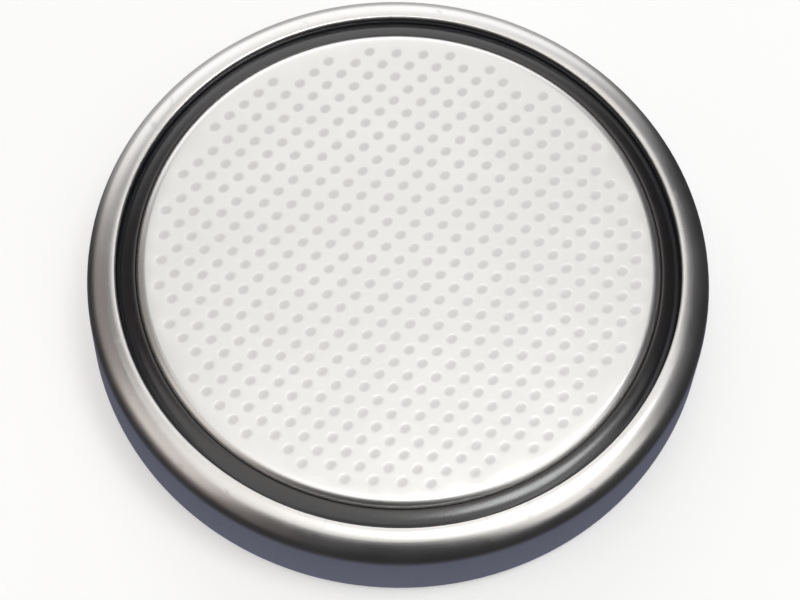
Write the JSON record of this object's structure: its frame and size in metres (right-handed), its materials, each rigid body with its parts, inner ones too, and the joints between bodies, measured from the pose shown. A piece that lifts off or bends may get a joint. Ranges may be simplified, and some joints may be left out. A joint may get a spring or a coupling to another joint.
{
  "type": "lithium coin cell",
  "caption": "Round flat lithium cell: a stainless can rolled over a dark seal ring onto a finely dimpled negative cap, with the electrodes and separator inside.",
  "frame": {"origin": "centre of the positive face, on the underside of the can", "axes": "+Z from the positive face to the flat face of the negative cap; X and Y lie in the positive face, at 45 degrees to the rows of the cap's dimples"},
  "size_m": [0.02, 0.02, 0.0032],
  "materials": {
    "can_steel": "bright drawn stainless steel",
    "cap_steel": "satin stainless steel with a fine dimpled face",
    "seal_plastic": "moulded polypropylene with a film of sealant",
    "lithium_metal": "dull, freshly punched",
    "separator_felt": "fine non-woven felt",
    "manganese_dioxide": "pressed black powder",
    "collector_steel": "plain rolled sheet"
  },
  "bodies": {
    "root": {"positive_can": "can_steel", "negative_cap": "cap_steel", "gasket": "seal_plastic", "lithium_anode": "lithium_metal", "separator": "separator_felt", "cathode_pellet": "manganese_dioxide", "cathode_collector": "collector_steel"}
  },
  "joints": []
}
